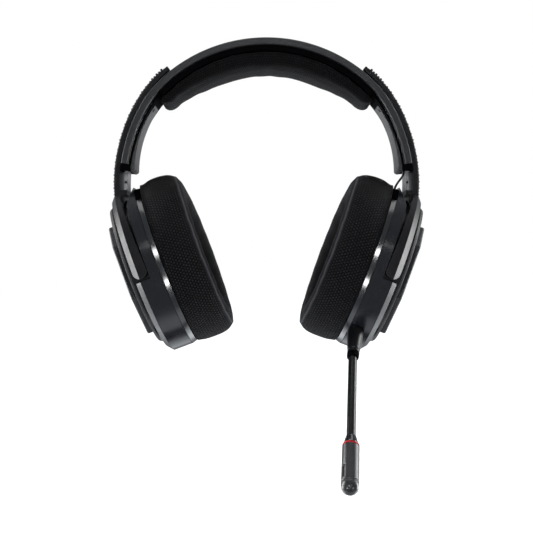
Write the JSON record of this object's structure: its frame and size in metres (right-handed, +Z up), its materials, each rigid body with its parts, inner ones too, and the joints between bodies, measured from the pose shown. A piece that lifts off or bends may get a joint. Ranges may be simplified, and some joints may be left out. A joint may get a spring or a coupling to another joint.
{
  "type": "gaming headset",
  "caption": "Wireless over-ear headset: arched padded headband, curved sliding arms with C-shaped yokes, oval cups with deep ear pads, and a plug-in boom microphone.",
  "frame": {"origin": "middle of the headband cushion's underside, where the wearer's head or a stand carries the headset", "axes": "+Z up, the wearer faces -Y, so the wearer's left ear and the microphone are on +X"},
  "size_m": [0.1868, 0.1417, 0.2494],
  "materials": {
    "shell_plastic": "fine matte moulded",
    "frame_plastic": "matte black moulded",
    "yoke_plastic": "satin moulded",
    "grip_rubber": "raised dots",
    "rail_metal": "satin",
    "dark_steel": "blackened",
    "steel": "bright",
    "gloss_shell": "high gloss",
    "trim_gloss": "high gloss bevel",
    "soft_lining": "soft touch",
    "cushion_fabric": "fine knit",
    "pad_fabric": "hexagonal mesh knit",
    "scrim_cloth": "acoustic cloth",
    "magnet_metal": "plated",
    "diaphragm_film": "film",
    "battery_foil": "foil",
    "board": "solder mask",
    "wire_rubber": "smooth jacket",
    "mic_plastic": "satin moulded",
    "boom_rubber": "satin jacket",
    "ferrule_metal": "satin",
    "red_plastic": "satin red",
    "capsule_plastic": "satin moulded",
    "cap_gloss": "high gloss",
    "button_plastic": "satin moulded"
  },
  "bodies": {
    "headband": {"headband_shell": "shell_plastic", "spring_band": "steel", "inner_frame": "frame_plastic", "headband_cushion": "cushion_fabric", "lining_strip_right": "soft_lining", "lining_strip_left": "soft_lining", "lining_screws": "dark_steel", "end_guide_right": "frame_plastic", "end_guide_left": "frame_plastic"},
    "arm_right": {"yoke_right": "yoke_plastic", "grip_cover_right": "grip_rubber", "slider_rail_right": "rail_metal", "rail_screw_right": "dark_steel", "pivot_pins_right": "steel"},
    "arm_left": {"yoke_left": "yoke_plastic", "grip_cover_left": "grip_rubber", "slider_rail_left": "rail_metal", "rail_screw_left": "dark_steel", "pivot_pins_left": "steel", "link_wire": "wire_rubber"},
    "cup_right": {"cup_housing_right": "gloss_shell", "trim_ring_right": "trim_gloss", "lower_ridge_right": "yoke_plastic", "back_cover_right": "frame_plastic", "outer_plate_right": "shell_plastic", "baffle_right": "frame_plastic", "driver_frame_right": "frame_plastic", "driver_magnet_right": "magnet_metal", "driver_diaphragm_right": "diaphragm_film", "ear_pad_right": "pad_fabric", "ear_scrim_right": "scrim_cloth", "battery": "battery_foil"},
    "cup_left": {"cup_housing_left": "gloss_shell", "trim_ring_left": "trim_gloss", "lower_ridge_left": "yoke_plastic", "back_cover_left": "frame_plastic", "outer_plate_left": "shell_plastic", "baffle_left": "frame_plastic", "driver_frame_left": "frame_plastic", "driver_magnet_left": "magnet_metal", "driver_diaphragm_left": "diaphragm_film", "ear_pad_left": "pad_fabric", "ear_scrim_left": "scrim_cloth", "circuit_board": "board", "usb_port": "steel", "mic_socket": "steel"},
    "microphone": {"mic_plug": "steel", "mic_boot": "mic_plastic", "mic_collar": "frame_plastic", "mic_stem": "boom_rubber", "mic_ferrule": "ferrule_metal", "mic_red_ring": "red_plastic", "mic_capsule": "capsule_plastic", "mic_element": "steel", "mic_cap": "cap_gloss"},
    "volume_control": {"volume_wheel": "grip_rubber"},
    "mute_control": {"mute_button": "button_plastic"},
    "power_control": {"power_button": "button_plastic"}
  },
  "joints": [
    {"name": "arm_slide_right", "type": "hinge", "parent": "headband", "child": "arm_right", "pos_m": [0, 0, -0.0688], "axis": [0, -1, 0], "range_deg": [-2, 16]},
    {"name": "cup_tilt_right", "type": "hinge", "parent": "arm_right", "child": "cup_right", "pos_m": [-0.07142, 0, -0.12095], "axis": [0, 1, 0], "range_deg": [-1.5, 12]},
    {"name": "arm_slide_left", "type": "hinge", "parent": "headband", "child": "arm_left", "pos_m": [0, 0, -0.0688], "axis": [0, 1, 0], "range_deg": [-2, 16]},
    {"name": "cup_tilt_left", "type": "hinge", "parent": "arm_left", "child": "cup_left", "pos_m": [0.07142, 0, -0.12095], "axis": [0, -1, 0], "range_deg": [-1.5, 12], "deforming": ["link_wire"]},
    {"name": "mic_pull", "type": "slide", "parent": "cup_left", "child": "microphone", "axis": [-0.1416, -0.7103, -0.6895], "range_m": [0, 0.012]},
    {"name": "volume_turn", "type": "hinge", "parent": "cup_left", "child": "volume_control", "pos_m": [0.06234, 0.03205, -0.12182], "axis": [-0.9361, 0, 0.3518], "range_deg": [-140, 140]},
    {"name": "mute_press", "type": "slide", "parent": "cup_left", "child": "mute_control", "axis": [0, -1, 0], "range_m": [0, 0.0007], "stiffness_N_per_m": 400, "springref_m": -0.0005},
    {"name": "power_press", "type": "slide", "parent": "cup_left", "child": "power_control", "axis": [0, -1, 0], "range_m": [0, 0.0007], "stiffness_N_per_m": 400, "springref_m": -0.0005}
  ]
}
